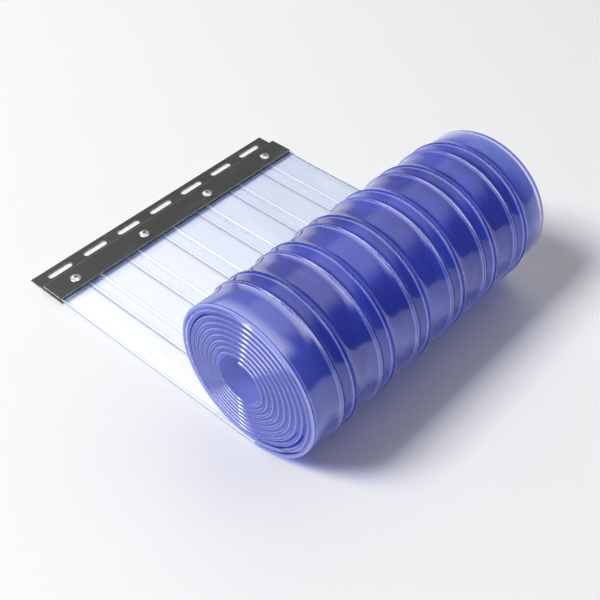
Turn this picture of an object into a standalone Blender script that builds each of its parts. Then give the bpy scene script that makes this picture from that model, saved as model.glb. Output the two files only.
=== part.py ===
"""One strip of a PVC strip curtain: a ribbed clear strip, wound up, with riveted hanger plates.

Metres, +Z up. X runs along the plates and the roll, Y from the roll to the plates' slotted
edge. The origin is the middle of the bottom of the whole part's box. The strip leaves the
plates along the floor, passes under the roll and winds inwards.
"""
import math

import bmesh
import bpy
from mathutils import Matrix, Vector

part_name = "pvc_strip_curtain"

# Strip: a flat web with the same pairs of ribs on both faces.
strip_width = 0.300
web_thickness = 0.003
rib_height = 0.001
rib_base_width = 0.004
rib_top_width = 0.002
rib_pair_count = 6
rib_edge_margin = 0.0375  # the strip's edge to the middle of the outermost pair
rib_spacing = 0.014  # between the two ribs of a pair

# Winding: radii are those of the web's outer face where the winding starts.
near_roll_radius = 0.0702  # at the -X end
far_roll_radius = 0.0671  # at the +X end, which is wound a little tighter
bore_radius = 0.0185
turn_count = 9.5
steps_per_turn = 24
bore_shift_y = 0.006  # the bore lies off the roll's centre
bore_shift_z = -0.0048
floor_flat_depth = 0.0005  # the roll is flat on the floor by this much
ridge_height = 0.0012  # the rib pairs stand proud of the bands between them
ridge_foot = 0.008  # from a pair's outer rib to the band's level
ridge_shoulder = 0.003
ridge_shoulder_share = 0.35  # of the ridge's height, at its shoulder
ridge_start_angle = math.radians(60)  # from the floor, where the ridges are full
ridge_end_angle = math.radians(320)  # where they start to fall away again, under the roll

# Free run: from the roll's axis to the plates' lower edge.
run_length = 0.2337
inner_rib_start = 0.030  # the upper ribs start here, from the roll's axis
inner_rib_full = 0.045
bend_line = 0.0745  # from the roll's axis to the line that the free run bends up about
joint_gap = 0.0003
fit_gap = 0.0003

# Hanger plates.
plate_overhang = 0.0015  # past each edge of the strip
plate_thickness = 0.0015
plate_edge_break = 0.0003
back_plate_height = 0.0458
front_plate_height = 0.0257
grip_depth = 0.0220  # the strip's end reaches this far in between the plates
rib_end_ramp = 0.002  # the ribs slope down to the web just before the plates
run_rise_length = 0.032  # the run climbs onto the back plate over this length
run_rise_steps = 4
slot_count = 7
slot_end_margin = 0.0264  # the plate's end to the middle of the outermost slot
slot_length = 0.027
slot_width = 0.007
slot_edge = 0.0095  # slot centre to the back plate's upper edge

# Blind rivets.
rivet_count = 4
rivet_slot_step = 2  # one rivet below every second slot
rivet_edge = 0.0116  # rivet centre to the plates' lower edge
rivet_head_radius = 0.0053
rivet_head_height = 0.0016
rivet_rim_height = 0.0004
rivet_shank_radius = 0.0024
rivet_bore_radius = 0.0016
rivet_tail_recess = 0.0002  # the tail stops short of the back plate's back face
countersink_radius = 0.0044
countersink_depth = 0.0012
tail_bore_radius = 0.0019
tail_bore_depth = 0.0008
mandrel_radius = 0.0013
mandrel_head_radius = 0.0016
mandrel_head_height = 0.0004
mandrel_dimple = 0.0007  # the broken end lies this far below the rivet's crown
mandrel_end_cone = 0.0003
dome_steps = 4
rivet_steps = 20
mandrel_steps = 12
cutter_steps = 24
cutter_overrun = 0.002

# Sizes that follow from the ones above.
half_width = strip_width / 2
half_web = web_thickness / 2
rib_pair_pitch = (strip_width - 2 * rib_edge_margin) / (rib_pair_count - 1)
plate_length = strip_width + 2 * plate_overhang
slot_pitch = (plate_length - 2 * slot_end_margin) / (slot_count - 1)
rivet_pitch = rivet_slot_step * slot_pitch
flat_web_z = rib_height + half_web  # middle of the web where the strip lies on the floor
clamped_web_z = plate_thickness + fit_gap + half_web
front_plate_z = plate_thickness + fit_gap + web_thickness + fit_gap
front_plate_top = front_plate_z + plate_thickness
rivet_seat_z = front_plate_top + fit_gap
rivet_crown_z = rivet_seat_z + rivet_head_height
bend_axis_z = rib_height + web_thickness + rib_height
rivet_hole_radius = rivet_shank_radius + fit_gap


def blend(low, high, share):
    return low + (high - low) * share


def smooth(share):
    share = min(max(share, 0), 1)
    return share * share * (3 - 2 * share)


def centred(count, pitch):
    """Places of a row of things, even about zero."""
    return [(index - (count - 1) / 2) * pitch for index in range(count)]


# The winding's shape, with Y measured from the roll's axis.


def roll_radius(x):
    return blend(near_roll_radius, far_roll_radius, (x + half_width) / strip_width)


def contact_angle(x):
    """Where the winding leaves the floor."""
    middle = roll_radius(x) - half_web
    return math.acos((middle - floor_flat_depth) / middle)


def winding_point(x, angle, outward):
    """A point of the winding: angle is from straight down, outward from the web's middle."""
    middle = roll_radius(x) - half_web
    turn_pitch = (middle - bore_radius - half_web) / turn_count
    radius = middle - turn_pitch * angle / math.tau + outward
    wound_share = angle / (turn_count * math.tau)
    centre_y = bore_shift_y * wound_share
    centre_z = rib_height + roll_radius(x) - floor_flat_depth + bore_shift_z * wound_share
    return Vector((x, centre_y - radius * math.sin(angle), centre_z - radius * math.cos(angle)))


def rib_points(pair_x):
    """The two ribs of one pair: x and share of the rib's height."""
    points = []
    for rib_x in (pair_x - rib_spacing / 2, pair_x + rib_spacing / 2):
        points.append((rib_x - rib_base_width / 2, 0))
        points.append((rib_x - rib_top_width / 2, 1))
        points.append((rib_x + rib_top_width / 2, 1))
        points.append((rib_x + rib_base_width / 2, 0))
    return points


def section_points(outer_ribs, inner_ribs, ridges):
    """The strip's outline, each point as key, x, side, rib share and ridge share."""
    pair_half = (rib_spacing + rib_base_width) / 2
    outer = [(-half_width, 0, 0)]
    inner = [(half_width, 0, 0)]
    for pair_x in centred(rib_pair_count, rib_pair_pitch):
        if ridges:
            outer.append((pair_x - pair_half - ridge_foot, 0, 0))
            outer.append((pair_x - pair_half - ridge_shoulder, 0, ridge_shoulder_share))
        if outer_ribs:
            outer += [(x, share, 1) for x, share in rib_points(pair_x)]
        if ridges:
            outer.append((pair_x + pair_half + ridge_shoulder, 0, ridge_shoulder_share))
            outer.append((pair_x + pair_half + ridge_foot, 0, 0))
        if inner_ribs:
            inner += [(-x, share, 1) for x, share in rib_points(pair_x)]
    outer.append((half_width, 0, 0))
    inner.append((-half_width, 0, 0))
    points = []
    for side, face in ((1, outer), (-1, inner)):
        points += [((side, round(x, 6)), x, side, rib, ridge) for x, rib, ridge in face]
    return points


def wound_ring(section, share, first_angle, last_angle):
    """The outline at one place of the winding, between two angles."""
    ring = []
    for key, x, side, rib, ridge in section:
        start = contact_angle(x) if first_angle is None else first_angle
        angle = blend(start, last_angle, share)
        level = 0
        if side > 0:
            fall = 1 - smooth((angle - ridge_end_angle) / (math.tau - ridge_end_angle))
            level = ridge * ridge_height * smooth(angle / ridge_start_angle) * fall
            level += rib * rib_height * fall
        ring.append((key, winding_point(x, angle, side * (half_web + level))))
    return ring


def flat_ring(section, y, web_z, outer_rib_share, inner_rib_share):
    """The outline where the strip lies flat, y from the roll's axis."""
    ring = []
    for key, x, side, rib, _ in section:
        share = outer_rib_share if side > 0 else inner_rib_share
        level = half_web + rib * rib_height * share
        ring.append((key, Vector((x, y, web_z - side * level))))
    return ring


def roll_rings():
    full = section_points(True, True, False)
    lower = section_points(True, False, False)
    ridged = section_points(True, False, True)
    plain = section_points(False, False, False)
    rings = [
        flat_ring(full, bend_line - joint_gap / 2, flat_web_z, 1, 1),
        flat_ring(full, inner_rib_full, flat_web_z, 1, 1),
        flat_ring(full, inner_rib_start, flat_web_z, 1, 0),
        flat_ring(lower, 0, flat_web_z, 1, 0),
    ]
    for step in range(steps_per_turn + 1):
        rings.append(wound_ring(ridged, step / steps_per_turn, None, math.tau))
    inner_steps = round((turn_count - 1) * steps_per_turn)
    for step in range(1, inner_steps + 1):
        rings.append(wound_ring(plain, step / inner_steps, math.tau, turn_count * math.tau))
    return rings


def run_rings():
    full = section_points(True, True, False)
    plain = section_points(False, False, False)
    rise_end = run_length - rib_end_ramp - fit_gap
    rise_start = rise_end - run_rise_length
    rings = [flat_ring(full, bend_line + joint_gap / 2, flat_web_z, 1, 1)]
    for step in range(run_rise_steps + 1):
        share = step / run_rise_steps
        web_z = blend(flat_web_z, clamped_web_z, smooth(share))
        rings.append(flat_ring(full, blend(rise_start, rise_end, share), web_z, 1, 1))
    rings.append(flat_ring(full, run_length - fit_gap, clamped_web_z, 0, 0))
    rings.append(flat_ring(plain, run_length + grip_depth, clamped_web_z, 0, 0))
    return rings


winding = roll_rings()
roll_back = min(point.y for ring in winding for _, point in ring)
roll_axis_y = -(run_length + back_plate_height + roll_back) / 2
plate_low_y = roll_axis_y + run_length
plate_high_y = plate_low_y + back_plate_height
bend_axis = Vector((0, roll_axis_y + bend_line, bend_axis_z))


def clear_scene():
    for old in list(bpy.data.objects):
        bpy.data.objects.remove(old, do_unlink=True)


def new_collection(name):
    collection = bpy.data.collections.new(name)
    bpy.context.scene.collection.children.link(collection)
    return collection


def new_material(name, color, roughness, metallic, ior=1.5):
    material = bpy.data.materials.new(name)
    material.use_nodes = True
    shader = material.node_tree.nodes["Principled BSDF"]
    shader.inputs["Base Color"].default_value = (*color, 1)
    shader.inputs["Roughness"].default_value = roughness
    shader.inputs["Metallic"].default_value = metallic
    shader.inputs["IOR"].default_value = ior
    material.diffuse_color = (*color, 1)
    return material


def add_object(name, mesh, collection, parent, place):
    """A new object at a world place, hung on its parent empty."""
    thing = bpy.data.objects.new(name, mesh)
    collection.objects.link(thing)
    if parent is not None:
        thing.parent = parent
        place = place - parent.location
    thing.location = place
    return thing


def finish_mesh(work, name):
    bmesh.ops.recalc_face_normals(work, faces=work.faces)
    mesh = bpy.data.meshes.new(name)
    work.to_mesh(mesh)
    work.free()
    return mesh


def set_finish(thing, material):
    thing.data.materials.append(material)
    thing.data.shade_smooth()
    thing.data.set_sharp_from_angle(angle=math.radians(30))


def between(row, first, last):
    """The points of a closed row from one to another, both included."""
    stretch = [row[first]]
    while first != last:
        first = (first + 1) % len(row)
        stretch.append(row[first])
    return stretch


def loft(name, rings, shift):
    """A closed skin over a row of outlines, whose points are matched by their keys."""
    work = bmesh.new()
    rows = [[work.verts.new(point + shift) for _, point in ring] for ring in rings]
    keys = [[key for key, _ in ring] for ring in rings]
    work.faces.new(list(reversed(rows[0])))
    work.faces.new(rows[-1])
    for row_a, row_b, keys_a, keys_b in zip(rows, rows[1:], keys, keys[1:]):
        places_b = {key: place for place, key in enumerate(keys_b)}
        shared = [place for place, key in enumerate(keys_a) if key in places_b]
        for first, last in zip(shared, shared[1:] + shared[:1]):
            side_a = between(row_a, first, last)
            side_b = between(row_b, places_b[keys_a[first]], places_b[keys_a[last]])
            work.faces.new(side_a + list(reversed(side_b)))
    return finish_mesh(work, name)


def box_mesh(name, length, depth, height):
    """A plain box that stands on its origin plane, centred along X, from zero along Y."""
    work = bmesh.new()
    bmesh.ops.create_cube(work, size=1)
    for vert in work.verts:
        vert.co.x *= length
        vert.co.y = (vert.co.y + 1 / 2) * depth
        vert.co.z = (vert.co.z + 1 / 2) * height
    return finish_mesh(work, name)


def round_cutter_mesh(name, low_radius, high_radius, depth, stretch=0):
    """A round or, with stretch, a round-ended slot cutter, standing on its origin.

    Its flats, and not its corners, lie at the radius, and two of them face along Y.
    """
    half_step = math.pi / cutter_steps
    work = bmesh.new()
    bmesh.ops.create_cone(
        work,
        cap_ends=True,
        segments=cutter_steps,
        radius1=low_radius / math.cos(half_step),
        radius2=high_radius / math.cos(half_step),
        depth=depth,
        matrix=Matrix.Rotation(half_step, 4, "Z"),
    )
    for vert in work.verts:
        vert.co.z += depth / 2
        if stretch:
            vert.co.x += math.copysign(stretch / 2, vert.co.x)
    return finish_mesh(work, name)


def cut(thing, cutter):
    cutter.hide_render = True
    cutter.display_type = "WIRE"
    modifier = thing.modifiers.new(cutter.name, "BOOLEAN")
    modifier.operation = "DIFFERENCE"
    modifier.object = cutter


def turned_mesh(name, profile, closed):
    """The outline of a turned piece, as points of radius and height."""
    work = bmesh.new()
    verts = [work.verts.new((radius, 0, height)) for radius, height in profile]
    for first, second in zip(verts, verts[1:]):
        work.edges.new((first, second))
    if closed:
        work.edges.new((verts[-1], verts[0]))
    mesh = bpy.data.meshes.new(name)
    work.to_mesh(mesh)
    work.free()
    return mesh


def spin(thing, steps):
    modifier = thing.modifiers.new("spin", "SCREW")
    modifier.steps = steps
    modifier.render_steps = steps
    modifier.use_merge_vertices = True
    modifier.merge_threshold = fit_gap / 10


def rivet_profile():
    """Head, shank and set tail, from the bore's top edge down the outside and up the bore."""
    points = []
    for step in range(dome_steps + 1):
        share = step / dome_steps
        radius = blend(rivet_bore_radius, rivet_head_radius, share)
        reach = (radius - rivet_bore_radius) / (rivet_head_radius - rivet_bore_radius)
        drop = (rivet_head_height - rivet_rim_height) * reach * reach
        points.append((radius, rivet_crown_z - drop))
    slope = (countersink_radius - rivet_hole_radius) / countersink_depth
    side_gap = fit_gap * math.hypot(1, slope)
    tail_top_z = (countersink_radius - side_gap - rivet_shank_radius) / slope
    tail_radius = countersink_radius - side_gap - rivet_tail_recess * slope
    points.append((rivet_head_radius, rivet_seat_z))
    points.append((rivet_shank_radius, rivet_seat_z))
    points.append((rivet_shank_radius, tail_top_z))
    points.append((tail_radius, rivet_tail_recess))
    points.append((tail_bore_radius, rivet_tail_recess))
    points.append((tail_bore_radius, rivet_tail_recess + tail_bore_depth))
    points.append((rivet_bore_radius, rivet_tail_recess + tail_bore_depth))
    return points


def mandrel_profile():
    """The broken stem and its head, from the top middle down the outside to the bottom middle."""
    top = rivet_crown_z - mandrel_dimple
    head_low = rivet_tail_recess
    head_high = head_low + mandrel_head_height
    return [
        (0, top),
        (mandrel_radius - mandrel_end_cone, top),
        (mandrel_radius, top - mandrel_end_cone),
        (mandrel_radius, head_high),
        (mandrel_head_radius, head_high),
        (mandrel_head_radius, head_low),
        (0, head_low),
    ]


def rivet_places():
    return [Vector((x, plate_low_y + rivet_edge, 0)) for x in centred(rivet_count, rivet_pitch)]


def slot_places():
    return [Vector((x, plate_high_y - slot_edge, 0)) for x in centred(slot_count, slot_pitch)]


def make_strip_roll(parts, material):
    mesh = loft("strip_roll", winding, Vector((0, roll_axis_y, 0)))
    thing = add_object("strip_roll", mesh, parts, None, Vector((0, 0, 0)))
    set_finish(thing, material)


def make_strip_free_run(parts, cutters, axis, material):
    mesh = loft("strip_free_run", run_rings(), Vector((0, roll_axis_y, 0)) - bend_axis)
    thing = add_object("strip_free_run", mesh, parts, axis, bend_axis)
    cutter_mesh = round_cutter_mesh(
        "strip_hole_cutter", rivet_hole_radius, rivet_hole_radius, web_thickness + 2 * cutter_overrun
    )
    for number, place in enumerate(rivet_places(), 1):
        place.z = clamped_web_z - half_web - cutter_overrun
        cut(thing, add_object(f"strip_hole_cutter_{number}", cutter_mesh, cutters, axis, place))
    set_finish(thing, material)


def add_edge_break(thing):
    modifier = thing.modifiers.new("edge_break", "BEVEL")
    modifier.width = plate_edge_break
    modifier.segments = 1


def make_back_plate(parts, cutters, axis, material):
    mesh = box_mesh("back_plate", plate_length, back_plate_height, plate_thickness)
    thing = add_object("back_plate", mesh, parts, axis, Vector((0, plate_low_y, 0)))
    add_edge_break(thing)
    cutter_depth = plate_thickness + 2 * cutter_overrun
    slot_mesh = round_cutter_mesh(
        "slot_cutter", slot_width / 2, slot_width / 2, cutter_depth, slot_length - slot_width
    )
    for number, place in enumerate(slot_places(), 1):
        place.z = -cutter_overrun
        cut(thing, add_object(f"slot_cutter_{number}", slot_mesh, cutters, axis, place))
    hole_mesh = round_cutter_mesh("back_hole_cutter", rivet_hole_radius, rivet_hole_radius, cutter_depth)
    slope = (countersink_radius - rivet_hole_radius) / countersink_depth
    sink_mesh = round_cutter_mesh(
        "countersink_cutter",
        countersink_radius + slope * cutter_overrun,
        rivet_hole_radius,
        countersink_depth + cutter_overrun,
    )
    for number, place in enumerate(rivet_places(), 1):
        place.z = -cutter_overrun
        cut(thing, add_object(f"back_hole_cutter_{number}", hole_mesh, cutters, axis, place))
        cut(thing, add_object(f"countersink_cutter_{number}", sink_mesh, cutters, axis, place))
    set_finish(thing, material)


def make_front_plate(parts, cutters, axis, material):
    mesh = box_mesh("front_plate", plate_length, front_plate_height, plate_thickness)
    thing = add_object("front_plate", mesh, parts, axis, Vector((0, plate_low_y, front_plate_z)))
    add_edge_break(thing)
    hole_mesh = round_cutter_mesh(
        "front_hole_cutter", rivet_hole_radius, rivet_hole_radius, plate_thickness + 2 * cutter_overrun
    )
    for number, place in enumerate(rivet_places(), 1):
        place.z = front_plate_z - cutter_overrun
        cut(thing, add_object(f"front_hole_cutter_{number}", hole_mesh, cutters, axis, place))
    set_finish(thing, material)


def make_rivets(parts, axis, body_material, mandrel_material):
    body_mesh = turned_mesh("rivet_body", rivet_profile(), True)
    mandrel_mesh = turned_mesh("rivet_mandrel", mandrel_profile(), False)
    for number, place in enumerate(rivet_places(), 1):
        body = add_object(f"rivet_body_{number}", body_mesh.copy(), parts, axis, place)
        spin(body, rivet_steps)
        body.data.materials.append(body_material)
        mandrel = add_object(f"rivet_mandrel_{number}", mandrel_mesh.copy(), parts, axis, place)
        spin(mandrel, mandrel_steps)
        mandrel.data.materials.append(mandrel_material)


def distance_to_stretch(point, start, end):
    along = end - start
    share = (point - start).dot(along) / along.length_squared
    return (point - start - along * min(max(share, 0), 1)).length


def least_winding_gap():
    """The least space between one turn and the next, measured at both ends of the roll."""
    least = math.inf
    for x in (-half_width, half_width):
        outer_key = (1, x)
        inner_key = (-1, x)
        outer = [dict(ring)[outer_key] for ring in winding]
        inner = [dict(ring)[inner_key] for ring in winding]
        for place in range(len(outer) - steps_per_turn // 2):
            for later in range(place + steps_per_turn // 2, len(outer) - 1):
                gap = distance_to_stretch(inner[place], outer[later], outer[later + 1])
                least = min(least, gap)
    return least


def wound_length():
    """The length of strip in the winding, along the web's middle at mid-width."""
    points = [winding_point(0, math.tau * step / steps_per_turn, 0)
              for step in range(round(turn_count * steps_per_turn) + 1)]
    return sum((second - first).length for first, second in zip(points, points[1:]))


def main():
    clear_scene()
    parts = new_collection(part_name)
    cutters = new_collection("cutters")
    strip_color = new_material("clear_blue_pvc", (0.13, 0.14, 0.55), 0.12, 0, 1.53)
    back_color = new_material("back_plate_paint", (0.055, 0.055, 0.060), 0.42, 0)
    front_color = new_material("front_plate_paint", (0.060, 0.060, 0.065), 0.38, 0)
    rivet_color = new_material("rivet_aluminium", (0.80, 0.80, 0.82), 0.28, 1)
    mandrel_color = new_material("mandrel_steel", (0.30, 0.30, 0.32), 0.40, 1)
    axis = bpy.data.objects.new("end_lift_axis", None)
    axis.location = bend_axis
    parts.objects.link(axis)
    make_strip_roll(parts, strip_color)
    make_strip_free_run(parts, cutters, axis, strip_color)
    make_back_plate(parts, cutters, axis, back_color)
    make_front_plate(parts, cutters, axis, front_color)
    make_rivets(parts, axis, rivet_color, mandrel_color)
    print(f"bend axis at y {bend_axis.y:.5f} m, z {bend_axis.z:.5f} m")
    print(f"plates from y {plate_low_y:.5f} m to {plate_high_y:.5f} m, roll axis at {roll_axis_y:.5f} m")
    print(f"wound length {wound_length():.3f} m in {turn_count} turns")
    print(f"least gap between turns {least_winding_gap() * 1000:.2f} mm")


main()
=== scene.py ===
# Clear ribbed curtain strip, wound up, with its riveted hanger plates
import math

import bmesh
import bpy
import numpy as np
from mathutils import Matrix, Vector


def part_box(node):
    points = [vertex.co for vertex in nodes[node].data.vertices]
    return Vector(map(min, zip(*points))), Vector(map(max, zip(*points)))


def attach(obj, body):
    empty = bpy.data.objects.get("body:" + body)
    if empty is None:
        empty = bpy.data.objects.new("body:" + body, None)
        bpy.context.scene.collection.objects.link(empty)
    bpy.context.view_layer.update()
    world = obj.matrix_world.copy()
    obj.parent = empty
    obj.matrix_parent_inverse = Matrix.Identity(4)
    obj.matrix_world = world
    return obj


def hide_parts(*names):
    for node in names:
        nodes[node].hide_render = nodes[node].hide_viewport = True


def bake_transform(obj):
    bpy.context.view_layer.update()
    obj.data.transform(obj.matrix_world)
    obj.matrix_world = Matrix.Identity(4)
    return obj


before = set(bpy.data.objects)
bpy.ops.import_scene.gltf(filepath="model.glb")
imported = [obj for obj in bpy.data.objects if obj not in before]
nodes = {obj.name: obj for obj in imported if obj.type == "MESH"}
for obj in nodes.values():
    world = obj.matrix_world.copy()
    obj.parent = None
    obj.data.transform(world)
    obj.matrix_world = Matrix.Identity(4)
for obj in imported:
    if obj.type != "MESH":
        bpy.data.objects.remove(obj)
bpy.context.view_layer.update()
plateLow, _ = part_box("back_plate")
print("frame loaded:", len(nodes), "nodes")


# Selecting and editing

facing = 0.9        # how squarely a face or an edge has to point along an axis
touching = 1e-5     # metres within which two places are one


def deselectAll():
    if bpy.context.mode != "OBJECT":
        bpy.ops.object.mode_set(mode="OBJECT")
    bpy.ops.object.select_all(action="DESELECT")


def selectOnly(piece):
    deselectAll()
    piece.select_set(True)
    bpy.context.view_layer.objects.active = piece


def startEdit(piece):
    selectOnly(piece)
    bpy.ops.object.mode_set(mode="EDIT")
    bpy.ops.mesh.select_mode(type="FACE")


def stopEdit():
    bpy.ops.object.mode_set(mode="OBJECT")
    deselectAll()


def pick(piece, kind, test):
    # selects the verts, edges or faces of the piece in edit mode that pass the test
    bpy.ops.mesh.select_all(action="DESELECT")
    bpy.ops.mesh.select_mode(type={"verts": "VERT", "edges": "EDGE", "faces": "FACE"}[kind])
    work = bmesh.from_edit_mesh(piece.data)
    for part in getattr(work, kind):
        if test(part):
            part.select_set(True)
    bmesh.update_edit_mesh(piece.data)


def edgeMiddle(edge):
    return (edge.verts[0].co + edge.verts[1].co) / 2


def runsAlongY(edge):
    return abs(edge.verts[0].co.y - edge.verts[1].co.y) > facing * edge.calc_length()


# The strip, made flat: X across it, Y along it from its clamped end, +Z its outer face

strip = {
    "width": 0.300,
    "web": 0.003,
    "ribHeight": 0.001,
    "ribBase": 0.004,
    "ribTop": 0.002,
    "ribSpacing": 0.014,
    "pairCount": 6,
    "edgeMargin": 0.0375,
    "ribRound": 0.00035,
    "edgeRound": 0.0003,
    "cutChamfer": 0.0005,
}
winding = {
    "nearRadius": 0.0702,
    "farRadius": 0.0671,
    "boreRadius": 0.0185,
    "turns": 9.5,
    "boreShiftY": 0.006,
    "boreShiftZ": -0.0048,
    "floorFlat": 0.0005,
    "bulge": 0.0012,                # the rib pairs stand proud of the bands between
    "bulgeFeet": (0.010, 0.007),    # wide, at the -X and the +X side of each pair
    "bulgePower": 2.2,
    "bulgeFull": 60,                # degrees from the floor at either side
    "footLines": 11,                # lines along the strip in each foot of the bulge
    "footCrowding": 1.3,            # above 1, they lie closer together beside the pair
    "runLength": 0.2337,
    "grip": 0.022,
    "ribRamp": 0.002,
    "rise": 0.032,
    "clampedWeb": 0.0033,
}
# The strip is shown in four lengths: the run, the clear turn round the outside, the blue
# turn pressed against it, and the plain turns inside.
lengths = {
    "runEndsBefore": 0.002,         # metres before the strip leaves the floor
    "outerTurns": 1.10,
    "secondTurns": 2.10,
    "gap": 0.0003,
    "spacing": 0.004,
    "innerSpacing": 0.0024,
    "pressed": 0.0038,              # the second turn swells outward against the outer one
    "pressedTo": (0.1455, 0.1490),  # and falls back between these places, at either end
    "pressedLines": 4,
    "shadeAngle": 32,
}

plateY = plateLow.y
rollY = plateY - winding["runLength"]
axisS = winding["grip"] + winding["runLength"]      # strip length from its end to the roll's axis
pairPitch = (strip["width"] - 2 * strip["edgeMargin"]) / (strip["pairCount"] - 1)
pairPlaces = [(n - (strip["pairCount"] - 1) / 2) * pairPitch for n in range(strip["pairCount"])]
ribPlaces = [x + side * strip["ribSpacing"] / 2 for x in pairPlaces for side in (-1, 1)]
pairHalf = (strip["ribSpacing"] + strip["ribBase"]) / 2


def rollRadius(x):
    share = x / strip["width"] + 0.5
    return winding["nearRadius"] + (winding["farRadius"] - winding["nearRadius"]) * share


def smooth(share):
    share = np.clip(share, 0, 1)
    return share * share * (3 - 2 * share)


def bulgeAt(x):
    # share of the bulge over the rib pairs, by distance from the nearest pair
    share = np.zeros(len(x))
    for place in pairPlaces:
        foot = np.where(x < place, *winding["bulgeFeet"])
        share = np.maximum(share, np.clip((pairHalf + foot - np.abs(x - place)) / foot, 0, 1))
    return share ** winding["bulgePower"]


middleRadius = rollRadius(0) - strip["web"] / 2
turnPitch = (middleRadius - winding["boreRadius"] - strip["web"] / 2) / winding["turns"]
liftAngle = math.acos((middleRadius - winding["floorFlat"]) / middleRadius)
liftS = axisS + middleRadius * math.sin(liftAngle)


def angleAt(s):
    # turned angle at a length of strip, from the quadratic of a steadily tightening winding
    a = turnPitch / (4 * math.pi)
    c = middleRadius * liftAngle - a * liftAngle ** 2 + (s - liftS)
    return (middleRadius - np.sqrt(np.maximum(middleRadius ** 2 - 4 * a * c, 0))) / (2 * a)


def lengthAt(turns):
    # the length of strip that has been wound after so many turns
    a = turnPitch / (4 * math.pi)
    angle = turns * 2 * math.pi
    return liftS + middleRadius * (angle - liftAngle) - a * (angle ** 2 - liftAngle ** 2)


def windUp(piece, pressed):
    # takes a flat strip to its place: along the floor, under the roll and round
    mesh = piece.data
    flat = np.zeros(len(mesh.vertices) * 3)
    mesh.vertices.foreach_get("co", flat)
    x, s, outward = flat.reshape(-1, 3).T
    kept = mesh.attributes.new("flatPlace", "FLOAT_VECTOR", "POINT")
    kept.data.foreach_set("vector", flat.astype(np.float32))
    halfWeb = strip["web"] / 2
    ribPart = np.sign(outward) * np.maximum(np.abs(outward) - halfWeb, 0)
    webPart = outward - ribPart
    # flat part
    clampS = winding["grip"]
    ribShare = smooth((s - clampS) / winding["ribRamp"])
    flatWeb = strip["ribHeight"] + halfWeb
    lift = 1 - smooth((s - clampS - winding["ribRamp"]) / winding["rise"])
    webZ = flatWeb + (winding["clampedWeb"] - flatWeb) * lift
    placed = np.empty((len(x), 3))
    placed[:, 0] = x
    placed[:, 1] = plateY + clampS - s
    placed[:, 2] = webZ - webPart - ribPart * ribShare
    # wound part
    angle = np.maximum(angleAt(s), liftAngle)
    turned = angle / (2 * math.pi)
    full = math.radians(winding["bulgeFull"])
    inTurn = np.mod(angle, 2 * math.pi)
    bulge = winding["bulge"] * bulgeAt(x) * smooth(np.minimum(inTurn, 2 * math.pi - inTurn) / full)
    bulge *= 1 - turned / winding["turns"]
    middle = rollRadius(x) - halfWeb
    pitch = (middle - winding["boreRadius"] - halfWeb) / winding["turns"]
    radius = middle - pitch * turned + outward + bulge
    pressedTo, fallenAt = lengths["pressedTo"]
    atEnds = smooth((np.abs(x) - pressedTo) / (fallenAt - pressedTo))
    radius += pressed * (outward > 0) * (1 - atEnds)
    share = turned / winding["turns"]
    centreY = rollY + winding["boreShiftY"] * share
    floorToAxis = strip["ribHeight"] + rollRadius(x) - winding["floorFlat"]
    centreZ = floorToAxis + winding["boreShiftZ"] * share
    wound = s > liftS
    placed[wound, 1] = (centreY - radius * np.sin(angle))[wound]
    placed[wound, 2] = (centreZ - radius * np.cos(angle))[wound]
    mesh.vertices.foreach_set("co", placed.ravel())
    mesh.update()


def bulgeLines():
    # across the strip, the places of the lines that the bulge needs to rise smoothly
    count = winding["footLines"]
    shares = [(n / count) ** winding["footCrowding"] for n in range(count + 1)]
    lines = []
    for x in pairPlaces:
        for side, foot in zip((-1, 1), winding["bulgeFeet"]):
            lines += [x + side * (pairHalf + foot * share) for share in shares]
            lines.append(x + side * (pairHalf - strip["ribBase"]))
    return lines


def pressedLines():
    first, last = lengths["pressedTo"]
    count = lengths["pressedLines"]
    places = [first + (last - first) * n / count for n in range(count + 1)]
    return [side * place for side in (-1, 1) for place in places]


def fromRib(x):
    return min(abs(x - place) for place in ribPlaces)


def raiseRibs(piece, side):
    # ribs with sloping flanks, on the outer face at side 1 and the inner one at -1
    topZ = side * (strip["web"] / 2 + strip["ribHeight"])
    pick(piece, "faces", lambda face: face.normal.z * side > facing
         and fromRib(face.calc_center_median().x) < strip["ribTop"] / 2)
    bpy.ops.mesh.extrude_region_move(
        TRANSFORM_OT_translate={"value": (0, 0, side * strip["ribHeight"])})
    for x in ribPlaces:
        pick(piece, "verts", lambda vert: abs(vert.co.z - topZ) < touching
             and abs(vert.co.x - x) < strip["ribBase"])
        bpy.ops.transform.resize(
            value=(strip["ribTop"] / strip["ribBase"], 1, 1), center_override=(x, 0, topZ))


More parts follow.
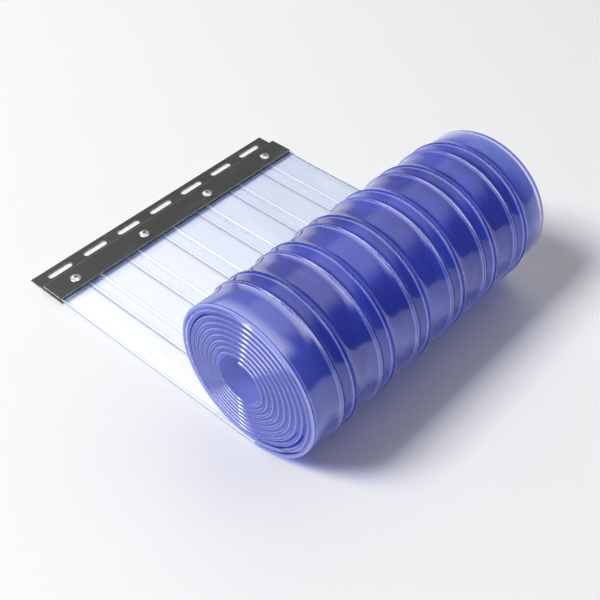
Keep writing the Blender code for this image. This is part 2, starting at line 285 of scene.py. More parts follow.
def makeFlatStrip(name, fromS, toS, spacing, ribSides=(-1, 1), bulging=True, pressed=0.0,
                  chamfer=0.0):
    deselectAll()
    bpy.ops.mesh.primitive_cube_add(size=1, location=(0, 0, 0))
    piece = bpy.context.object
    piece.name = piece.data.name = name
    startEdit(piece)
    bpy.ops.mesh.select_all(action="SELECT")
    bpy.ops.transform.resize(value=(strip["width"], toS - fromS, strip["web"]))
    bpy.ops.transform.translate(value=(0, (fromS + toS) / 2, 0))
    for x in (bulgeLines() if bulging else []) + (pressedLines() if pressed else []):
        bpy.ops.mesh.select_all(action="SELECT")
        bpy.ops.mesh.bisect(plane_co=(x, 0, 0), plane_no=(1, 0, 0))
    for side in ribSides:
        raiseRibs(piece, side)
    if ribSides:
        pick(piece, "edges", lambda edge: runsAlongY(edge)
             and edgeMiddle(edge).z * sum(ribSides) >= 0
             and fromRib(edgeMiddle(edge).x) < strip["ribBase"] / 2 + touching)
        bpy.ops.mesh.bevel(offset=strip["ribRound"], segments=2, affect="EDGES")
    pick(piece, "edges", lambda edge: runsAlongY(edge)
         and abs(edgeMiddle(edge).x) > strip["width"] / 2 - touching)
    bpy.ops.mesh.bevel(
        offset=chamfer or strip["edgeRound"], segments=1 if chamfer else 2, affect="EDGES")
    # subdivided in two rounds, because one makes no more than 100 cuts
    steps = max(2, round((toS - fromS) / spacing))
    firstRound = max(1, round(math.sqrt(steps)))
    secondRound = max(1, round(steps / firstRound))
    for count in (firstRound, secondRound):
        if count > 1:
            pick(piece, "edges", runsAlongY)
            bpy.ops.mesh.subdivide(number_cuts=count - 1)
    stopEdit()
    windUp(piece, pressed)
    return piece


# Materials of the strip

# Across each rib pair: millimetres from its middle, and the tint and then the gloss there. On the
# run the tint is painted light and shade: dark shade lines beside the ribs and highlight lines
# brighter than white
clearPairLightAndShade = [
    (-10.2, (1.0, 1.0, 1.0, 1.0)),
    (-9.6, (1.0, 1.0, 1.0, 1.0)),
    (-9.2, (0.22, 0.25, 0.36, 0.1)),
    (-8.4, (0.22, 0.25, 0.36, 0.1)),
    (-7.9, (1.12, 1.08, 1.0, 0.8)),
    (-6.2, (0.98, 0.99, 1.0, 0.8)),
    (-5.7, (0.50, 0.56, 0.72, 0.3)),
    (-5.0, (0.50, 0.56, 0.72, 0.3)),
    (-4.5, (0.955, 0.97, 0.99, 1.0)),
    (4.5, (0.955, 0.97, 0.99, 1.0)),
    (5.0, (0.56, 0.62, 0.78, 0.4)),
    (5.6, (0.56, 0.62, 0.78, 0.4)),
    (6.1, (1.25, 1.16, 1.02, 1.0)),
    (8.3, (1.25, 1.16, 1.02, 1.0)),
    (8.8, (0.52, 0.60, 0.80, 0.4)),
    (9.5, (0.62, 0.69, 0.86, 0.4)),
    (10.4, (1.0, 1.0, 1.0, 1.0)),
]
# On the outer turn the tint is painted shade: dark lines along the ribs, with the gloss in the
# last column
turnPairShadeLines = [
    (-10.0, (1.0, 1.0, 1.0, 1.0)),
    (-7.7, (1.0, 1.0, 1.0, 1.0)),
    (-7.3, (0.12, 0.13, 0.36, 0.2)),
    (-6.4, (0.12, 0.13, 0.36, 0.2)),
    (-6.0, (1.0, 1.0, 1.0, 1.0)),
    (-5.3, (1.0, 1.0, 1.0, 1.0)),
    (-4.9, (0.30, 0.32, 0.62, 0.5)),
    (-3.9, (0.90, 0.92, 0.97, 0.8)),
    (4.3, (0.85, 0.87, 0.95, 0.8)),
    (4.9, (1.0, 1.0, 1.0, 0.35)),
    (6.0, (1.0, 1.0, 1.0, 0.35)),
    (6.4, (0.14, 0.15, 0.40, 0.2)),
    (7.1, (0.14, 0.15, 0.40, 0.2)),
    (7.5, (1.0, 1.0, 1.0, 0.7)),
    (8.1, (0.24, 0.26, 0.54, 0.3)),
    (9.2, (0.40, 0.42, 0.70, 0.5)),
    (10.0, (1.0, 1.0, 1.0, 1.0)),
]
# Across each rib pair: millimetres from its middle, and the painted glow there: a faint glow over
# the sheet and painted highlight lines where the ribs catch light
clearPaintedGlow = [
    (-8.2, (0.035, 0.050, 0.090)),
    (-7.6, (0.110, 0.130, 0.160)),
    (-6.8, (0.110, 0.130, 0.160)),
    (-6.3, (0.035, 0.050, 0.090)),
    (6.1, (0.035, 0.050, 0.090)),
    (6.5, (0.300, 0.320, 0.340)),
    (7.6, (0.300, 0.320, 0.340)),
    (8.1, (0.035, 0.050, 0.090)),
]
# Painted highlight lines along the outer turn's ribs, in millimetres from each pair's middle; haze
# is the painted faint glow between them, and lit is the glow on them
turnHighlightLines = {
    "places": ((-8.3, -7.9), (-5.8, -5.3), (4.7, 5.1), (7.5, 7.8), (9.5, 9.8)),
    "foot": 0.3,                # millimetres that each line takes to fade in and out
    "haze": (0.012, 0.011, 0.008),
    "lit": (0.14, 0.165, 0.27),
}
turnPaintedGlow = []
for start, end in turnHighlightLines["places"]:
    turnPaintedGlow += [
        (start - turnHighlightLines["foot"], turnHighlightLines["haze"]),
        (start, turnHighlightLines["lit"]),
        (end, turnHighlightLines["lit"]),
        (end + turnHighlightLines["foot"], turnHighlightLines["haze"]),
    ]
clearLook = {
    "colour": (1.0, 1.0, 1.0),
    # Painted shade: the sheet darker and bluer towards its far end, and bluish beside the plates'
    # edge
    "farShadeColour": (0.72, 0.765, 0.885),
    "clampShadeColour": (0.62, 0.70, 1.0),
    "hazeColour": (0.995, 1.0, 1.0),
    "hazeShare": 0.5,
    "roughness": (0.02, 0.07),
    "bend": 1.18,                   # low, so that a thin sheet stays bright
    "gloss": 1.45,
    "glossAlong": (1.0, 1.0),       # at the near end and at the far one, like paintedGlowAlong
    # the painted glow's strength at the near end and at the far one
    "paintedGlowAlong": (1.0, 0.5),
    "shownFace": (1.0, 0.0),        # its inner face is the one seen
    "absorption": (0.30, 0.50, 0.90),
    "density": 1.2,
    "lampTint": (1.0, 1.0, 1.0),
    "endColour": (0.66, 0.70, 0.86),
    "endClear": 0.55,
}
turnLook = {
    "colour": (1.0, 1.0, 1.0),
    "farShadeColour": (1.0, 1.0, 1.0),
    "clampShadeColour": (1.0, 1.0, 1.0),
    "hazeColour": (0.90, 0.92, 1.0),
    "hazeShare": 1.0,
    "roughness": (0.02, 0.06),
    "bend": 1.12,
    "gloss": 1.90,
    "glossAlong": (1.0, 0.58),
    "paintedGlowAlong": (0.6, 1.0),
    "shownFace": (0.0, 1.0),
    "absorption": (0.25, 0.35, 0.92),
    "density": 150,
    "lampTint": (0.60, 0.66, 0.90),
    "endColour": (0.33, 0.37, 0.78),
    "endClear": 0.20,
}
# Both clear looks share these
sheet = {
    "pairReach": 0.012,             # the rib pair's tables reach this far from its middle
    "clampShade": 0.014,            # painted bluish shade beside the plates' edge reaches this far out
    "coatRoughness": 0.045,
    "haze": (0.45, 0.75),
    "faceBlend": 0.0004,            # either side of the web's middle
    "sawnEnds": (0.1494, 0.1499),   # metres from the strip's middle
    "endGloss": 0.2,
}
# Scales are on the flat strip and depths in metres
drawn = {
    "lineScale": (620, 2.5, 0),
    "lineDepth": 0.000005,
    "rippleScale": (14, 22, 0),
    "rippleDepth": 0.00010,
    "smearScale": (30, 9, 0),
    "smears": (0.40, 0.72),
}
deepLook = {
    "colour": (0.034, 0.040, 0.19),
    "cloudColour": (0.078, 0.103, 0.37),
    "cloudScale": (24, 16, 0),
    "clouds": (0.42, 0.62),
    # Painted light: lighter towards both sawn ends, and paler and greyer at the far end, where
    # light comes through the ends
    "endColour": (0.20, 0.25, 0.46),
    "ends": (0.110, 0.150),         # metres from the middle, at both ends
    "farEndPaintedLight": (0.50, 0.54, 0.62),
    "farEnd": (0.124, 0.150),
    # painted glow: emission that lights the deep turn from within
    "paintedGlow": (0.0, 0.06, 1.0),
    "paintedGlowStrength": 0.17,
    "shine": 0.15,
    "roughness": (0.25, 0.35),
}
innerLook = {
    "colour": (0.07, 0.085, 0.30),
    "gloss": 1.5,
    "coatRoughness": 0.06,
    # painted glow that lightens the inner turns, the bore and the gaps between turns
    "paintedGlow": (0.31, 0.36, 1.0),
    "paintedGlowStrength": 0.30,
    "roughness": (0.14, 0.22),
}
# Across the thickness of a sawn end: millimetres outward from its middle, and colour: a painted
# dark shade line through the middle and a painted highlight line near the outer face
cutLightAndShadeLines = [
    (-1.5, (0.100, 0.120, 0.46)),
    (-0.5, (0.100, 0.120, 0.46)),
    (-0.2, (0.024, 0.032, 0.24)),
    (0.4, (0.024, 0.032, 0.24)),
    (0.6, (0.34, 0.37, 0.82)),
    (1.2, (0.34, 0.37, 0.82)),
]
cutLook = {
    "lineColour": (0.15, 0.17, 0.50),
    "lineShare": 0.30,
    "sawScale": (0, 260, 900),
    "saw": (0.35, 0.70),
    "sawDepth": 0.00003,
    # painted glow on the sawn ends
    "paintedGlowStrength": 0.08,
    "bend": 1.4,
    "roughness": 0.30,
    "rimFacing": 0.3,               # a face that points this much across the strip is a rim
}


def addNode(tree, kind, **settings):
    node = tree.nodes.new("ShaderNode" + kind)
    for name, value in settings.items():
        if name in node.inputs:
            node.inputs[name].default_value = value
        else:
            setattr(node, name, value)
    return node


def scaledBy(tree, vector, scale):
    scaled = addNode(tree, "VectorMath", operation="MULTIPLY")
    scaled.inputs[1].default_value = scale
    tree.links.new(vector, scaled.inputs[0])
    return scaled.outputs[0]


def stripCoordinates(tree, scale=(1, 1, 1)):
    # the place on the flat strip, so that a pattern follows the winding
    flat = addNode(tree, "Attribute", attribute_name="flatPlace")
    return scaledBy(tree, flat.outputs["Vector"], scale)


def objectCoordinates(tree, scale=(1, 1, 1)):
    return scaledBy(tree, addNode(tree, "TexCoord").outputs["Object"], scale)


def splitUp(tree, vector):
    split = addNode(tree, "SeparateXYZ")
    tree.links.new(vector, split.inputs[0])
    return split.outputs


def noiseOf(tree, vector, detail, scale=1.0):
    noise = addNode(tree, "TexNoise", Scale=scale, Detail=detail)
    tree.links.new(vector, noise.inputs["Vector"])
    return noise.outputs["Fac"]


def fade(tree, value, fromLow, fromHigh, toLow=0.0, toHigh=1.0, smoothly=False):
    ramp = addNode(tree, "MapRange")
    ramp.interpolation_type = "SMOOTHSTEP" if smoothly else "LINEAR"
    limits = {"From Min": fromLow, "From Max": fromHigh, "To Min": toLow, "To Max": toHigh}
    for name, number in limits.items():
        ramp.inputs[name].default_value = number
    tree.links.new(value, ramp.inputs["Value"])
    return ramp.outputs["Result"]


def combine(tree, operation, first, second):
    both = addNode(tree, "Math", operation=operation)
    tree.links.new(first, both.inputs[0])
    tree.links.new(second, both.inputs[1])
    return both.outputs[0]


def times(tree, first, second):
    return combine(tree, "MULTIPLY", first, second)


def awayFromMiddle(tree, vector, axis):
    away = addNode(tree, "Math", operation="ABSOLUTE")
    tree.links.new(splitUp(tree, vector)[axis], away.inputs[0])
    return away.outputs[0]


def mixColours(tree, share, first, second):
    mix = addNode(tree, "Mix", data_type="RGBA")
    tree.links.new(share, mix.inputs["Factor"])
    for socket, colour in ((mix.inputs[6], first), (mix.inputs[7], second)):
        if isinstance(colour, tuple):
            socket.default_value = (*colour, 1)
        else:
            tree.links.new(colour, socket)
    return mix.outputs[2]


def timesColour(tree, first, second):
    product = addNode(tree, "Mix", data_type="RGBA", blend_type="MULTIPLY")
    product.inputs["Factor"].default_value = 1
    tree.links.new(first, product.inputs[6])
    tree.links.new(second, product.inputs[7])
    return product.outputs[2]


def rampOf(tree, value, middle, reach, stops):
    # colours by the millimetres that a value in metres lies from the middle
    ramp = addNode(tree, "ValToRGB")
    places = ramp.color_ramp.elements
    while len(places) < len(stops):
        places.new(0.5)
    # all the places first, because they are sorted as they move
    for place, (millimetres, _) in zip(places, stops):
        place.position = 0.5 + millimetres / 1000 / (2 * reach)
    for place, (_, colour) in zip(places, stops):
        place.color = (*colour, 1)[:4]
    tree.links.new(fade(tree, value, middle - reach, middle + reach), ramp.inputs["Fac"])
    return ramp.outputs


def acrossPair(tree, x, stops):
    # the ramp of one rib pair, repeated over all of them
    inPair = addNode(tree, "Math", operation="WRAP")
    tree.links.new(x, inPair.inputs[0])
    inPair.inputs[1].default_value = pairPitch
    inPair.inputs[2].default_value = 0
    return rampOf(tree, inPair.outputs[0], pairPitch / 2, sheet["pairReach"], stops)


def bumpOf(tree, height, distance, under=None):
    bump = addNode(tree, "Bump", Distance=distance, Strength=1.0)
    tree.links.new(height, bump.inputs["Height"])
    if under:
        tree.links.new(under, bump.inputs["Normal"])
    return bump.outputs["Normal"]


def newMaterial(name, colour, roughness, metallic=0.0, ior=1.5):
    material = bpy.data.materials.new(name)
    material.use_nodes = True
    shader = material.node_tree.nodes["Principled BSDF"]
    shader.inputs["Base Color"].default_value = (*colour, 1)
    shader.inputs["Roughness"].default_value = roughness
    shader.inputs["Metallic"].default_value = metallic
    shader.inputs["IOR"].default_value = ior
    return material, shader


def addGloss(shader, gloss, roughness):
    shader.inputs["Coat Weight"].default_value = 1.0
    shader.inputs["Coat IOR"].default_value = gloss
    shader.inputs["Coat Roughness"].default_value = roughness


# emission that paints light onto a part that is no lamp
def addPaintedGlow(shader, colour, strength):
    shader.inputs["Emission Color"].default_value = (*colour, 1)
    shader.inputs["Emission Strength"].default_value = strength


def extrudedSurface(tree, shader, roughness):
    # fine drawn lines along the strip, slow ripples, and smears that dull the gloss
    lines = noiseOf(tree, stripCoordinates(tree, drawn["lineScale"]), detail=2.0)
    ripples = noiseOf(tree, stripCoordinates(tree, drawn["rippleScale"]), detail=1.0)
    rippled = bumpOf(tree, ripples, drawn["rippleDepth"])
    normal = bumpOf(tree, lines, drawn["lineDepth"], under=rippled)
    tree.links.new(normal, shader.inputs["Normal"])
    tree.links.new(normal, shader.inputs["Coat Normal"])
    smears = noiseOf(tree, stripCoordinates(tree, drawn["smearScale"]), detail=4.0)
    tree.links.new(fade(tree, smears, *drawn["smears"], *roughness), shader.inputs["Roughness"])
    return smears


def letLampsThrough(material, shader, tint):
    # light from lamps reaches what lies behind the clear sheet
    tree = material.node_tree
    lightPath = addNode(tree, "LightPath")
    through = addNode(tree, "BsdfTransparent", Color=(*tint, 1))
    either = addNode(tree, "MixShader")
    tree.links.new(lightPath.outputs["Is Shadow Ray"], either.inputs["Fac"])
    tree.links.new(shader.outputs["BSDF"], either.inputs[1])
    tree.links.new(through.outputs["BSDF"], either.inputs[2])
    tree.links.new(either.outputs["Shader"], tree.nodes["Material Output"].inputs["Surface"])


def makeClearPvc(name, look, lightAndShadeStops, paintedGlowStops):
    material, shader = newMaterial(name, look["colour"], look["roughness"][0], ior=look["bend"])
    addGloss(shader, look["gloss"], sheet["coatRoughness"])
    tree = material.node_tree
    smears = extrudedSurface(tree, shader, look["roughness"])
    flat = stripCoordinates(tree)
    place = splitUp(tree, flat)
    halfWidth = strip["width"] / 2
    toFar = fade(tree, place["X"], -halfWidth, halfWidth, smoothly=True)
    # painted shade, darker and bluer towards the far end
    sides = mixColours(tree, toFar, look["colour"], look["farShadeColour"])
    # painted bluish shade on the run beside the plates' edge
    shadeEnd = winding["grip"] + sheet["clampShade"]
    besideClamp = fade(tree, place["Y"], winding["grip"], shadeEnd, 1, 0, smoothly=True)
    sides = mixColours(tree, besideClamp, sides, look["clampShadeColour"])
    haze = fade(tree, smears, *sheet["haze"], 0, look["hazeShare"])
    sides = mixColours(tree, haze, sides, look["hazeColour"])
    # only the face that is seen has the rib pairs' painted light and shade lines, their gloss and
    # their painted glow
    blendZ = sheet["faceBlend"]
    onShown = fade(tree, place["Z"], -blendZ, blendZ, *look["shownFace"])
    ribs = acrossPair(tree, place["X"], lightAndShadeStops)
    tint = mixColours(tree, onShown, (1.0, 1.0, 1.0), ribs["Color"])
    sides = timesColour(tree, sides, tint)
    # painted glow: a faint glow and highlight lines along the ribs, weaker towards one end
    paintedGlow = acrossPair(tree, place["X"], paintedGlowStops)["Color"]
    glowShare = times(tree, onShown, fade(tree, toFar, 0, 1, *look["paintedGlowAlong"]))
    sent = mixColours(tree, glowShare, (0.0, 0.0, 0.0), paintedGlow)
    tree.links.new(sent, shader.inputs["Emission Color"])
    shader.inputs["Emission Strength"].default_value = 1.0
    # the sawn ends are milky
    ends = fade(tree, awayFromMiddle(tree, flat, "X"), *sheet["sawnEnds"])
    tree.links.new(mixColours(tree, ends, sides, look["endColour"]), shader.inputs["Base Color"])
    clear = fade(tree, ends, 0, 1, 1, look["endClear"])
    tree.links.new(clear, shader.inputs["Transmission Weight"])
    gloss = times(tree, ribs["Alpha"], onShown)
    gloss = times(tree, gloss, fade(tree, toFar, 0, 1, *look["glossAlong"]))
    gloss = times(tree, gloss, fade(tree, ends, 0, 1, 1, sheet["endGloss"]))
    tree.links.new(gloss, shader.inputs["Coat Weight"])
    letLampsThrough(material, shader, look["lampTint"])
    soak = addNode(
        tree, "VolumeAbsorption", Color=(*look["absorption"], 1), Density=look["density"])
    tree.links.new(soak.outputs["Volume"], tree.nodes["Material Output"].inputs["Volume"])
    return material


def makeDeepPvc():
    # the turns under the outer one, seen through it as one deep colour
    material, shader = newMaterial("deepPvc", deepLook["colour"], deepLook["roughness"][0])
    shader.inputs["Specular IOR Level"].default_value = deepLook["shine"]
    addPaintedGlow(shader, deepLook["paintedGlow"], deepLook["paintedGlowStrength"])
    tree = material.node_tree
    extrudedSurface(tree, shader, deepLook["roughness"])
    flat = stripCoordinates(tree)
    cloudy = noiseOf(tree, stripCoordinates(tree, deepLook["cloudScale"]), detail=2.0)
    clouds = fade(tree, cloudy, *deepLook["clouds"], smoothly=True)
    lighter = mixColours(tree, clouds, deepLook["colour"], deepLook["cloudColour"])
    # painted light near the sawn ends: lighter at both, paler and greyer at the far one
    atEnds = fade(tree, awayFromMiddle(tree, flat, "X"), *deepLook["ends"], smoothly=True)
    lighter = mixColours(tree, atEnds, lighter, deepLook["endColour"])
    atFarEnd = fade(tree, splitUp(tree, flat)["X"], *deepLook["farEnd"], smoothly=True)
    lighter = mixColours(tree, atFarEnd, lighter, deepLook["farEndPaintedLight"])
    tree.links.new(lighter, shader.inputs["Base Color"])
    return material


def makeInnerPvc():
    material, shader = newMaterial("innerPvc", innerLook["colour"], innerLook["roughness"][0])
    addGloss(shader, innerLook["gloss"], innerLook["coatRoughness"])
    addPaintedGlow(shader, innerLook["paintedGlow"], innerLook["paintedGlowStrength"])
    extrudedSurface(material.node_tree, shader, innerLook["roughness"])
    return material


def makeCutPvc():
    # the sawn ends of the inner turns, satin and paler than their faces; painted highlight and
    # shade lines run across their thickness, and a painted glow lights them
    material, shader = newMaterial(
        "cutPvc", cutLook["lineColour"], cutLook["roughness"], ior=cutLook["bend"])
    addPaintedGlow(shader, innerLook["paintedGlow"], cutLook["paintedGlowStrength"])
    tree = material.node_tree
    saw = noiseOf(tree, stripCoordinates(tree, cutLook["sawScale"]), detail=2.0)
    through = splitUp(tree, stripCoordinates(tree))["Z"]
    bands = rampOf(tree, through, 0, strip["web"] / 2, cutLightAndShadeLines)["Color"]
    sawn = fade(tree, saw, *cutLook["saw"], 0, cutLook["lineShare"])
    endFaceColour = mixColours(tree, sawn, bands, cutLook["lineColour"])
    tree.links.new(endFaceColour, shader.inputs["Base Color"])
    tree.links.new(bumpOf(tree, saw, cutLook["sawDepth"]), shader.inputs["Normal"])
    return material


def dressTurns(piece, material, rimMaterial, cutMaterial):
    # the cut ends, and the glossy rims and rib flanks, get finishes of their own
    for each in (material, rimMaterial, cutMaterial):
        piece.data.materials.append(each)
    for face in piece.data.polygons:
        acrossStrip = abs(face.normal.x)
        if acrossStrip > cutLook["rimFacing"]:
            face.material_index = 2 if acrossStrip > facing else 1


runEnd = liftS - lengths["runEndsBefore"]
outerEnd = lengthAt(lengths["outerTurns"])
secondEnd = lengthAt(lengths["secondTurns"])
stripRun = makeFlatStrip("strip_run", 0.0, runEnd, lengths["spacing"])
stripRun.data.materials.append(makeClearPvc("clearPvc", clearLook, clearPairLightAndShade, clearPaintedGlow))
outerTurn = makeFlatStrip("strip_outer_turn", runEnd, outerEnd, lengths["spacing"], (1,))
outerTurn.data.materials.append(makeClearPvc("tintedPvc", turnLook, turnPairShadeLines, turnPaintedGlow))
secondTurn = makeFlatStrip(
    "strip_second_turn", outerEnd + lengths["gap"], secondEnd, lengths["spacing"], (1,),
    pressed=lengths["pressed"], chamfer=strip["cutChamfer"])
innerTurns = makeFlatStrip(
    "strip_inner_turns", secondEnd + lengths["gap"], lengthAt(winding["turns"]),
    lengths["innerSpacing"], (), bulging=False, chamfer=strip["cutChamfer"])
cutMaterial = makeCutPvc()
innerMaterial = makeInnerPvc()
dressTurns(secondTurn, makeDeepPvc(), innerMaterial, cutMaterial)
dressTurns(innerTurns, innerMaterial, innerMaterial, cutMaterial)
for piece in (stripRun, outerTurn, secondTurn, innerTurns):
    selectOnly(piece)
    bpy.ops.object.shade_smooth_by_angle(angle=math.radians(lengths["shadeAngle"]))
    deselectAll()
    print(piece.name, "has", len(piece.data.vertices), "vertices")

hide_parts("strip_free_run")
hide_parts("strip_roll")
for piece in (outerTurn, secondTurn, innerTurns):
    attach(piece, "roll")
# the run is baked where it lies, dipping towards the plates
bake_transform(stripRun)


# Plates, rivets and mandrels keep their solids

plateLook = {
    "colour": (0.030, 0.030, 0.031),
    "dustColour": (0.080, 0.080, 0.083),
    "cloudScale": (22, 60, 60),
    "dust": (0.52, 0.80),
    "shine": 0.38,
    "bareAndLitEdgeColour": (0.55, 0.55, 0.57),
    "edges": (0.60, 0.30),          # a face that points less along Z than this is a sheared edge
    "breakupScale": (140, 140, 500),
    "edgeBreakup": (0.38, 0.60, 0.25, 1.0),
    "outline": 0.0007,
    "outlineHighlightColour": (0.30, 0.30, 0.31),
    "outlineBreakup": (0.30, 0.60, 0.45, 1.0),
    "dull": (0.35, 0.70),
    "roughness": (0.34, 0.50),
    "grain": 1500,
    "grainDepth": 0.000012,
}
rivetLook = {
    "colour": (0.52, 0.52, 0.54),
    "wornColour": (0.24, 0.24, 0.26),
    "roughness": (0.20, 0.45),
    "wearScale": 700,
}
mandrelLook = {
    "colour": (0.26, 0.26, 0.28),
    "wornColour": (0.12, 0.11, 0.11),
    "roughness": (0.35, 0.60),
    "wearScale": 1200,
}
# Rivets and mandrels share these
metalWear = {
    "markShare": (0.50, 0.72),
    "dull": (0.35, 0.65),
    "scratchScale": (900, 2600, 900),
    "scratchDepth": 0.00001,
}


def outlineHighlight(tree, low, high):
    # a painted highlight: a thin pale line just inside the plate's outline, where its edge would
    # catch the light
    middle = (low + high) / 2
    half = (high - low) / 2
    centred = addNode(tree, "VectorMath", operation="SUBTRACT")
    centred.inputs[1].default_value = middle
    tree.links.new(addNode(tree, "TexCoord").outputs["Object"], centred.inputs[0])
    line = plateLook["outline"]
    alongX, alongY = [
        fade(tree, awayFromMiddle(tree, centred.outputs[0], axis), reach - line, reach - line / 2)
        for axis, reach in (("X", half.x), ("Y", half.y))]
    return combine(tree, "MAXIMUM", alongX, alongY)


def makePlateMaterial(name):
    material, shader = newMaterial(name + "Paint", plateLook["colour"], plateLook["roughness"][0])
    shader.inputs["Specular IOR Level"].default_value = plateLook["shine"]
    tree = material.node_tree
    clouds = noiseOf(tree, objectCoordinates(tree, plateLook["cloudScale"]), detail=4.0)
    dust = fade(tree, clouds, *plateLook["dust"])
    paint = mixColours(tree, dust, plateLook["colour"], plateLook["dustColour"])
    breakup = noiseOf(tree, objectCoordinates(tree, plateLook["breakupScale"]), detail=3.0)
    outline = outlineHighlight(tree, *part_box(name))
    # painted highlight line along the outline, broken up by noise
    markShare = times(tree, outline, fade(tree, breakup, *plateLook["outlineBreakup"]))
    paint = mixColours(tree, markShare, paint, plateLook["outlineHighlightColour"])
    # the sheared edges are pale: partly bare metal, and a painted highlight where they catch the
    # light
    upright = awayFromMiddle(tree, addNode(tree, "TexCoord").outputs["Normal"], "Z")
    sheared = fade(tree, upright, *plateLook["edges"])
    bareAndLitEdge = times(tree, sheared, fade(tree, breakup, *plateLook["edgeBreakup"]))
    paint = mixColours(tree, bareAndLitEdge, paint, plateLook["bareAndLitEdgeColour"])
    tree.links.new(paint, shader.inputs["Base Color"])
    dull = fade(tree, clouds, *plateLook["dull"], *plateLook["roughness"])
    tree.links.new(dull, shader.inputs["Roughness"])
    grain = noiseOf(tree, objectCoordinates(tree), detail=2.0, scale=plateLook["grain"])
    tree.links.new(bumpOf(tree, grain, plateLook["grainDepth"]), shader.inputs["Normal"])
    return material


def makeWornMetal(name, look):
    material, shader = newMaterial(name, look["colour"], look["roughness"][0], metallic=1.0)
    tree = material.node_tree
    wear = noiseOf(tree, objectCoordinates(tree), detail=4.0, scale=look["wearScale"])
    markShare = fade(tree, wear, *metalWear["markShare"])
    metal = mixColours(tree, markShare, look["colour"], look["wornColour"])
    tree.links.new(metal, shader.inputs["Base Color"])
    dull = fade(tree, wear, *metalWear["dull"], *look["roughness"])
    tree.links.new(dull, shader.inputs["Roughness"])
    scratches = noiseOf(tree, objectCoordinates(tree, metalWear["scratchScale"]), detail=2.0)
    tree.links.new(bumpOf(tree, scratches, metalWear["scratchDepth"]), shader.inputs["Normal"])
    return material


rivetMaterial = makeWornMetal("rivetAluminium", rivetLook)
mandrelMaterial = makeWornMetal("mandrelSteel", mandrelLook)
for name, node in nodes.items():
    material = None
    if name.endswith("plate"):
        material = makePlateMaterial(name)
    elif name.startswith("rivet_body"):
        material = rivetMaterial
    elif name.startswith("rivet_mandrel"):
        material = mandrelMaterial
    if material:
        node.data.materials.clear()
        node.data.materials.append(material)
print("plates, rivets and mandrels finished")


# Floor, light and camera

stage = {"floorSize": 12, "floorColour": (0.94, 0.94, 0.945), "floorRoughness": 0.6}
deselectAll()
bpy.ops.mesh.primitive_plane_add(size=stage["floorSize"], location=(0, 0, 0))
floor = bpy.context.object
floor.name = "floor"
floorMaterial, _ = newMaterial("floorPaper", stage["floorColour"], stage["floorRoughness"])
floor.data.materials.append(floorMaterial)


def facingBack(sideways, upward, backward, place):
    # a lamp or a camera looks along its own -Z
    return Matrix.Translation(place) @ Matrix((sideways, upward, backward)).transposed().to_4x4()


keyLight = {"place": (-3.19, 2.09, 4.64), "size": 2.0, "watts": 320}
lamp = bpy.data.lights.new("keyBox", "AREA")
lamp.shape = "RECTANGLE"
lamp.size = keyLight["size"]
lamp.size_y = keyLight["size"]
lamp.energy = keyLight["watts"]
lampObject = bpy.data.objects.new("keyBox", lamp)
bpy.context.scene.collection.objects.link(lampObject)
toLamp = Vector(keyLight["place"]).normalized()
acrossLamp = (Vector((1, 0, 0)) - toLamp * toLamp.x).normalized()
lampObject.matrix_world = facingBack(
    acrossLamp, toLamp.cross(acrossLamp), toLamp, keyLight["place"])
lampObject.visible_transmission = False
lampObject.visible_glossy = False

# A dim room. Each board is a soft-edged patch of it: its level, and for X, Y and Z of the
# direction, where it starts, is full, stops being full and ends. Beyond openEnd it has no
# edge. The gloss sees more boards than the soft light does.
room = {
    "rest": 0.10,
    "glossRest": 0.07,
    "backdrop": 0.80,
    "openEnd": 1.5,
}
fillBoards = [
    (0.95, (0.22, 0.40, 0.72, 0.85), (-0.9, -0.45, 2, 3), (0.10, 0.55, 2, 3)),
]
glossBoards = [
    (0.98, (0.22, 0.40, 0.72, 0.85), (-0.52, -0.14, 0.48, 0.76), (0.10, 0.55, 2, 3)),
    (0.42, (-3, -2, 0.60, 0.75), (-3, -2, -0.30, -0.10), (-3, -2, -0.02, 0.06)),
    (0.75, (-3, -2, 2, 3), (0.30, 0.60, 2, 3), (-3, -2, -0.02, 0.20)),
    (0.42, (0.05, 0.25, 0.80, 0.95), (0.35, 0.60, 2, 3), (-3, -2, 2, 3)),
    (3.0, (-0.06, 0.06, 0.18, 0.50), (-0.74, -0.46, 2, 3), (0.0, 0.25, 2, 3)),
    (5.5, (-0.62, -0.56, -0.40, -0.26), (-0.90, -0.60, 0.55, 0.80), (0.15, 0.35, 2, 3)),
    (7.0, (-3, -2, -0.76, -0.66), (-0.90, -0.60, 0.45, 0.70), (0.15, 0.35, 2, 3)),
    (24.0, (-0.90, -0.82, -0.68, -0.58), (0.26, 0.35, 0.41, 0.50), (0.40, 0.48, 2, 3)),
]
world = bpy.data.worlds.new("studio")
bpy.context.scene.world = world
world.use_nodes = True
tree = world.node_tree
background = tree.nodes["Background"]
background.inputs["Color"].default_value = (1, 1, 1, 1)
direction = splitUp(tree, addNode(tree, "TexCoord").outputs["Generated"])


def boardLevel(strength, edges, rest):
    patch = None
    for axis, (startsAt, fullAt, fullTo, endsAt) in zip("XYZ", edges):
        for low, high, lowShare, highShare in ((startsAt, fullAt, 0, 1), (fullTo, endsAt, 1, 0)):
            if abs(low) < room["openEnd"]:
                share = fade(tree, direction[axis], low, high, lowShare, highShare, smoothly=True)
                patch = share if patch is None else times(tree, patch, share)
    return fade(tree, patch, 0, 1, rest, strength)


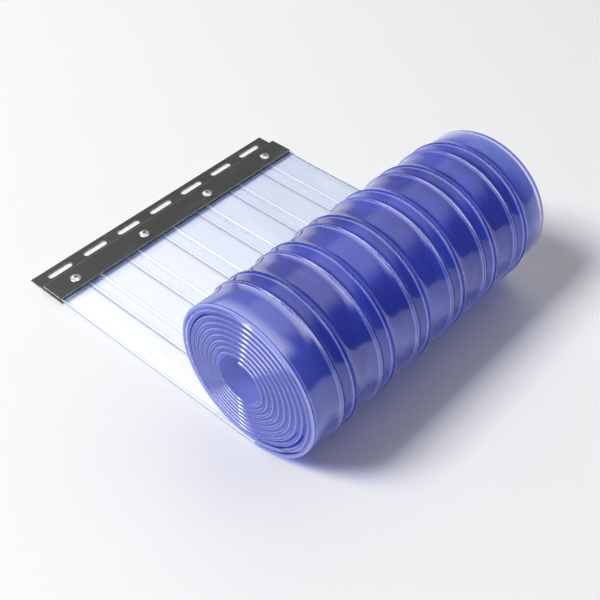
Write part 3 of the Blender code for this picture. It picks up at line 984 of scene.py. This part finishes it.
def brightestOf(boards, rest):
    level = None
    for strength, *edges in boards:
        patch = boardLevel(strength, edges, rest)
        level = patch if level is None else combine(tree, "MAXIMUM", level, patch)
    return level


def mixLevels(share, first, second):
    mix = addNode(tree, "Mix")
    tree.links.new(share, mix.inputs[0])
    for socket, level in ((mix.inputs[2], first), (mix.inputs[3], second)):
        if isinstance(level, float):
            socket.default_value = level
        else:
            tree.links.new(level, socket)
    return mix.outputs[0]


# only what the camera sees mirrored, not what falls on the floor through the strip
lightPath = addNode(tree, "LightPath").outputs
straightFromFace = times(
    tree, fade(tree, lightPath["Is Transmission Ray"], 0, 1, 1, 0),
    fade(tree, lightPath["Diffuse Depth"], 0, 1, 1, 0))
mirrored = times(tree, lightPath["Is Glossy Ray"], straightFromFace)
level = mixLevels(
    mirrored, brightestOf(fillBoards, room["rest"]), brightestOf(glossBoards, room["glossRest"]))
level = mixLevels(lightPath["Is Camera Ray"], level, room["backdrop"])
tree.links.new(level, background.inputs["Strength"])

cameraView = {
    "place": (-0.4841, -0.4716, 0.6306),
    "azimuth": -47.12,
    "elevation": 43.98,
    "roll": -0.88,
    "lens": 60.6,
    "sensor": 36,
}
azimuth = math.radians(cameraView["azimuth"])
elevation = math.radians(cameraView["elevation"])
turn = math.radians(cameraView["roll"])
back = Vector((
    math.sin(azimuth) * math.cos(elevation), -math.cos(azimuth) * math.cos(elevation),
    math.sin(elevation)))
right = Vector((math.cos(azimuth), math.sin(azimuth), 0))
up = back.cross(right)
rightTurned = math.cos(turn) * right + math.sin(turn) * up
upTurned = math.cos(turn) * up - math.sin(turn) * right
camera = bpy.data.cameras.new("camera")
camera.lens = cameraView["lens"]
camera.sensor_width = cameraView["sensor"]
cameraObject = bpy.data.objects.new("camera", camera)
bpy.context.scene.collection.objects.link(cameraObject)
cameraObject.matrix_world = facingBack(rightTurned, upTurned, back, cameraView["place"])
bpy.context.scene.camera = cameraObject
bpy.context.scene.view_settings.view_transform = "Standard"
print("stage, lights and camera set")
